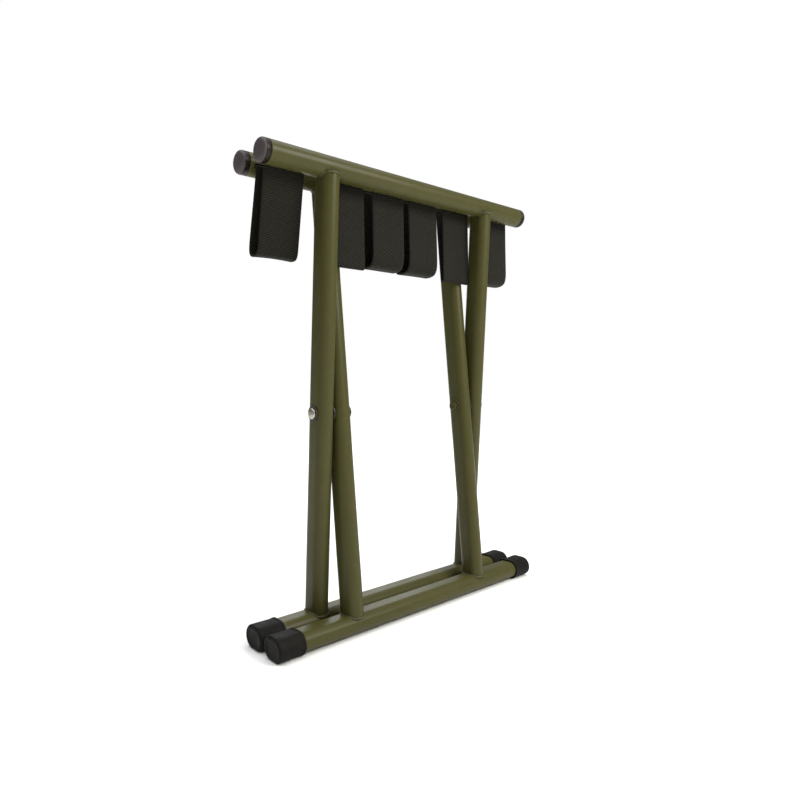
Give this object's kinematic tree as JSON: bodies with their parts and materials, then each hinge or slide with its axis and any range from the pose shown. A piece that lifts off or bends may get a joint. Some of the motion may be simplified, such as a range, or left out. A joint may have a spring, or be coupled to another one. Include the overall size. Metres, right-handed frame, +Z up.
{
  "type": "folding stool",
  "caption": "Folding camp stool with crossed olive steel tube frames, flat-oval foot rails with rubber caps and a seat of hanging webbing straps, stored folded.",
  "frame": {"origin": "on the floor, midway between the two foot rails and midway along them", "axes": "+X along the rails to the right, +Y from the front rails to the back rails, +Z up"},
  "size_m": [0.337, 0.0598, 0.423],
  "materials": {
    "frame_paint": "gloss olive-drab enamel",
    "webbing": "ribbed black-brown polyester webbing",
    "foot_caps": "moulded black rubber",
    "rail_plugs": "moulded dark grey plastic",
    "zinc_steel": "dull zinc plate",
    "nylon_washers": "dark nylon"
  },
  "bodies": {
    "pivot": {"pivot_rivet_left": "zinc_steel", "rivet_head_washer_left": "nylon_washers", "rivet_tail_washer_left": "frame_paint", "leg_spacer_left": "nylon_washers", "pivot_rivet_right": "zinc_steel", "rivet_head_washer_right": "nylon_washers", "rivet_tail_washer_right": "frame_paint", "leg_spacer_right": "nylon_washers"},
    "outer_frame": {"front_top_rail": "frame_paint", "back_foot_rail": "frame_paint", "outer_leg_left": "frame_paint", "outer_leg_right": "frame_paint", "front_strap_rod": "zinc_steel", "front_rail_plug_left": "rail_plugs", "front_rail_plug_right": "rail_plugs", "back_foot_cap_left": "foot_caps", "back_foot_cap_right": "foot_caps"},
    "inner_frame": {"back_top_rail": "frame_paint", "front_foot_rail": "frame_paint", "inner_leg_left": "frame_paint", "inner_leg_right": "frame_paint", "back_strap_rod": "zinc_steel", "back_rail_plug_left": "rail_plugs", "back_rail_plug_right": "rail_plugs", "front_foot_cap_left": "foot_caps", "front_foot_cap_right": "foot_caps"},
    "leaning_front": {"strap_1_front": "webbing"},
    "leaning_front_fold": {"strap_1_front_fold": "webbing"},
    "leaning_back": {"strap_1_back": "webbing"},
    "leaning_back_fold": {"strap_1_back_fold": "webbing"},
    "loose_front": {"strap_3_front": "webbing", "strap_4_front": "webbing", "strap_6_front": "webbing"},
    "loose_front_fold": {"strap_3_front_fold": "webbing", "strap_4_front_fold": "webbing", "strap_6_front_fold": "webbing"},
    "loose_back": {"strap_3_back": "webbing", "strap_4_back": "webbing", "strap_6_back": "webbing"},
    "loose_back_fold": {"strap_3_back_fold": "webbing", "strap_4_back_fold": "webbing", "strap_6_back_fold": "webbing"},
    "tight_front": {"strap_2_front": "webbing", "strap_5_front": "webbing"},
    "tight_front_fold": {"strap_2_front_fold": "webbing", "strap_5_front_fold": "webbing"},
    "tight_back": {"strap_2_back": "webbing", "strap_5_back": "webbing"},
    "tight_back_fold": {"strap_2_back_fold": "webbing", "strap_5_back_fold": "webbing"}
  },
  "joints": [
    {"name": "outer_frame_pivot", "type": "hinge", "parent": "pivot", "child": "outer_frame", "pos_m": [0, 0, 0.2], "axis": [1, 0, 0], "range_deg": [0, 20.28]},
    {"name": "inner_frame_pivot", "type": "hinge", "parent": "pivot", "child": "inner_frame", "pos_m": [0, 0, 0.2], "axis": [1, 0, 0], "range_deg": [-20.28, 0]},
    {"name": "leaning_front_bend", "type": "hinge", "parent": "outer_frame", "child": "leaning_front", "pos_m": [0, -0.00684, 0.40884], "axis": [1, 0, 0], "range_deg": [0, 58.55], "deforming": ["strap_1_front"]},
    {"name": "leaning_front_fold_bend", "type": "hinge", "parent": "leaning_front", "child": "leaning_front_fold", "pos_m": [0, 0.00869, 0.33704], "axis": [1, 0, 0], "range_deg": [-78.83, 0], "deforming": ["strap_1_front_fold"]},
    {"name": "leaning_back_bend", "type": "hinge", "parent": "inner_frame", "child": "leaning_back", "pos_m": [0, 0.0065, 0.40851], "axis": [1, 0, 0], "range_deg": [-83.3, 0], "deforming": ["strap_1_back"]},
    {"name": "leaning_back_fold_bend", "type": "hinge", "parent": "leaning_back", "child": "leaning_back_fold", "pos_m": [0, 0.02073, 0.33821], "axis": [1, 0, 0], "range_deg": [0, 103.58], "deforming": ["strap_1_back_fold"]},
    {"name": "loose_front_bend", "type": "hinge", "parent": "outer_frame", "child": "loose_front", "pos_m": [0, -0.00668, 0.40869], "axis": [1, 0, 0], "range_deg": [0, 70.28], "deforming": ["strap_3_front", "strap_4_front", "strap_6_front"]},
    {"name": "loose_front_fold_bend", "type": "hinge", "parent": "loose_front", "child": "loose_front_fold", "pos_m": [0, -0.00427, 0.33914], "axis": [1, 0, 0], "range_deg": [-90.56, 0], "deforming": ["strap_3_front_fold", "strap_4_front_fold", "strap_6_front_fold"]},
    {"name": "loose_back_bend", "type": "hinge", "parent": "inner_frame", "child": "loose_back", "pos_m": [0, 0.00659, 0.40861], "axis": [1, 0, 0], "range_deg": [-76.62, 0], "deforming": ["strap_3_back", "strap_4_back", "strap_6_back"]},
    {"name": "loose_back_fold_bend", "type": "hinge", "parent": "loose_back", "child": "loose_back_fold", "pos_m": [0, 0.01277, 0.33832], "axis": [1, 0, 0], "range_deg": [0, 96.9], "deforming": ["strap_3_back_fold", "strap_4_back_fold", "strap_6_back_fold"]},
    {"name": "tight_front_bend", "type": "hinge", "parent": "outer_frame", "child": "tight_front", "pos_m": [0, -0.00647, 0.40857], "axis": [1, 0, 0], "range_deg": [0, 69.67], "deforming": ["strap_2_front", "strap_5_front"]},
    {"name": "tight_front_fold_bend", "type": "hinge", "parent": "tight_front", "child": "tight_front_fold", "pos_m": [0, -0.00563, 0.33294], "axis": [1, 0, 0], "range_deg": [-89.95, 0], "deforming": ["strap_2_front_fold", "strap_5_front_fold"]},
    {"name": "tight_back_bend", "type": "hinge", "parent": "inner_frame", "child": "tight_back", "pos_m": [0, 0.00345, 0.40749], "axis": [1, 0, 0], "range_deg": [-65.45, 0], "deforming": ["strap_2_back", "strap_5_back"]},
    {"name": "tight_back_fold_bend", "type": "hinge", "parent": "tight_back", "child": "tight_back_fold", "pos_m": [0, -0.0027, 0.33278], "axis": [1, 0, 0], "range_deg": [0, 85.73], "deforming": ["strap_2_back_fold", "strap_5_back_fold"]}
  ],
  "couplings": [
    {"joint": "inner_frame_pivot", "follows": "outer_frame_pivot", "ratio": -1},
    {"joint": "leaning_front_bend", "follows": "outer_frame_pivot", "ratio": 2.8869},
    {"joint": "leaning_front_fold_bend", "follows": "outer_frame_pivot", "ratio": -3.8869},
    {"joint": "leaning_back_bend", "follows": "outer_frame_pivot", "ratio": -4.1074},
    {"joint": "leaning_back_fold_bend", "follows": "outer_frame_pivot", "ratio": 5.1074},
    {"joint": "loose_front_bend", "follows": "outer_frame_pivot", "ratio": 3.4655},
    {"joint": "loose_front_fold_bend", "follows": "outer_frame_pivot", "ratio": -4.4656},
    {"joint": "loose_back_bend", "follows": "outer_frame_pivot", "ratio": -3.778},
    {"joint": "loose_back_fold_bend", "follows": "outer_frame_pivot", "ratio": 4.778},
    {"joint": "tight_front_bend", "follows": "outer_frame_pivot", "ratio": 3.4352},
    {"joint": "tight_front_fold_bend", "follows": "outer_frame_pivot", "ratio": -4.4352},
    {"joint": "tight_back_bend", "follows": "outer_frame_pivot", "ratio": -3.2275},
    {"joint": "tight_back_fold_bend", "follows": "outer_frame_pivot", "ratio": 4.2275}
  ]
}
